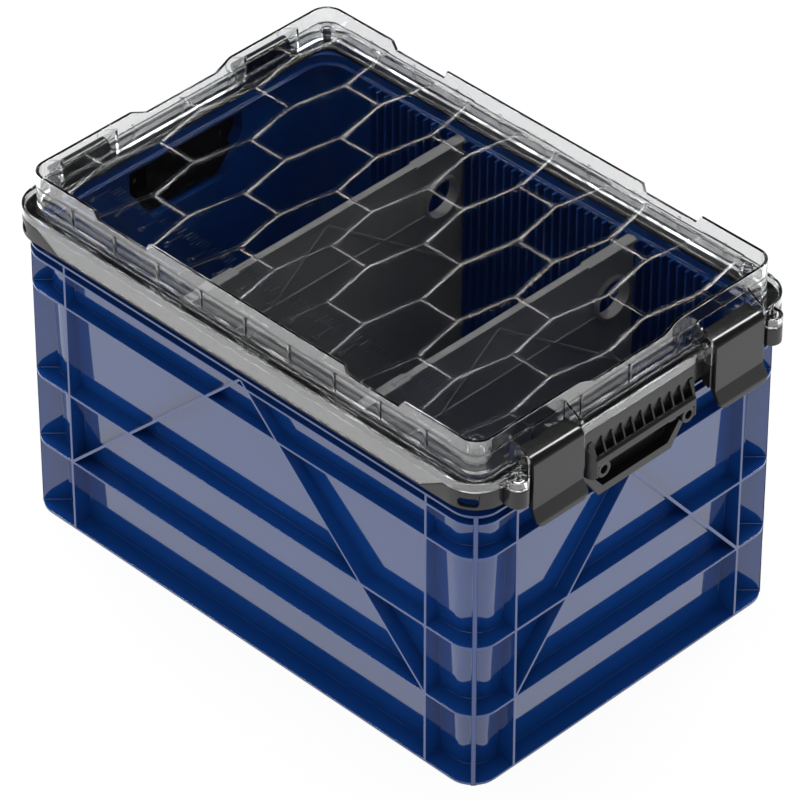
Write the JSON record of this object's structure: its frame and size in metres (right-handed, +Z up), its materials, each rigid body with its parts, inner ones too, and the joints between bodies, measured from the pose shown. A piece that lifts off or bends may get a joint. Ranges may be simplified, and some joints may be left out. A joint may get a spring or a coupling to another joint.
{
  "type": "storage crate",
  "caption": "Ribbed stacking crate with a clear hinged lid, front latches, carrying handles and lift-out dividers.",
  "frame": {"origin": "centre of the crate's flat bottom", "axes": "+Z up, +Y towards the end with the hinges, X across the crate"},
  "size_m": [0.3258, 0.4999, 0.307],
  "materials": {
    "crate_plastic": "glossy injection moulding",
    "black_plastic": "fine satin injection moulding",
    "clear_plastic": "clear glossy injection moulding",
    "divider_plastic": "dark grey satin moulding",
    "seal_rubber": "soft matte rubber",
    "screw_steel": "dark plated",
    "pin_steel": "drawn wire"
  },
  "bodies": {
    "crate": {"crate_body": "crate_plastic", "collar": "black_plastic", "lid_seal": "seal_rubber", "front_handle_frame": "black_plastic", "rear_handle_frame": "black_plastic", "front_handle_grip": "black_plastic", "rear_handle_grip": "black_plastic", "front_handle_screws": "screw_steel", "rear_handle_screws": "screw_steel", "left_latch_keeper": "black_plastic", "right_latch_keeper": "black_plastic", "left_keeper_screws": "screw_steel", "right_keeper_screws": "screw_steel", "left_latch_guard": "black_plastic", "right_latch_guard": "black_plastic", "left_lashing_eye": "black_plastic", "right_lashing_eye": "black_plastic", "left_hinge_bracket": "black_plastic", "right_hinge_bracket": "black_plastic", "left_hinge_screws": "screw_steel", "right_hinge_screws": "screw_steel", "left_hinge_pin": "pin_steel", "right_hinge_pin": "pin_steel"},
    "lid": {"lid": "clear_plastic", "lid_corner_pads": "seal_rubber", "left_latch_pin": "pin_steel", "right_latch_pin": "pin_steel"},
    "left_latch": {"left_latch": "black_plastic"},
    "right_latch": {"right_latch": "black_plastic"},
    "front_divider": {"front_divider": "divider_plastic"},
    "rear_divider": {"rear_divider": "divider_plastic"}
  },
  "joints": [
    {"name": "lid_hinge", "type": "hinge", "parent": "crate", "child": "lid", "pos_m": [0, 0.238, 0.2825], "axis": [-1, 0, 0], "range_deg": [0, 105]},
    {"name": "left_latch_hinge", "type": "hinge", "parent": "lid", "child": "left_latch", "pos_m": [-0.092, -0.238, 0.2825], "axis": [-1, 0, 0], "range_deg": [0, 105]},
    {"name": "right_latch_hinge", "type": "hinge", "parent": "lid", "child": "right_latch", "pos_m": [0.092, -0.238, 0.2825], "axis": [-1, 0, 0], "range_deg": [0, 105]},
    {"name": "front_divider_slide", "type": "slide", "parent": "crate", "child": "front_divider", "axis": [0, 0, 1], "range_m": [0, 0.024]},
    {"name": "rear_divider_slide", "type": "slide", "parent": "crate", "child": "rear_divider", "axis": [0, 0, 1], "range_m": [0, 0.024]}
  ]
}
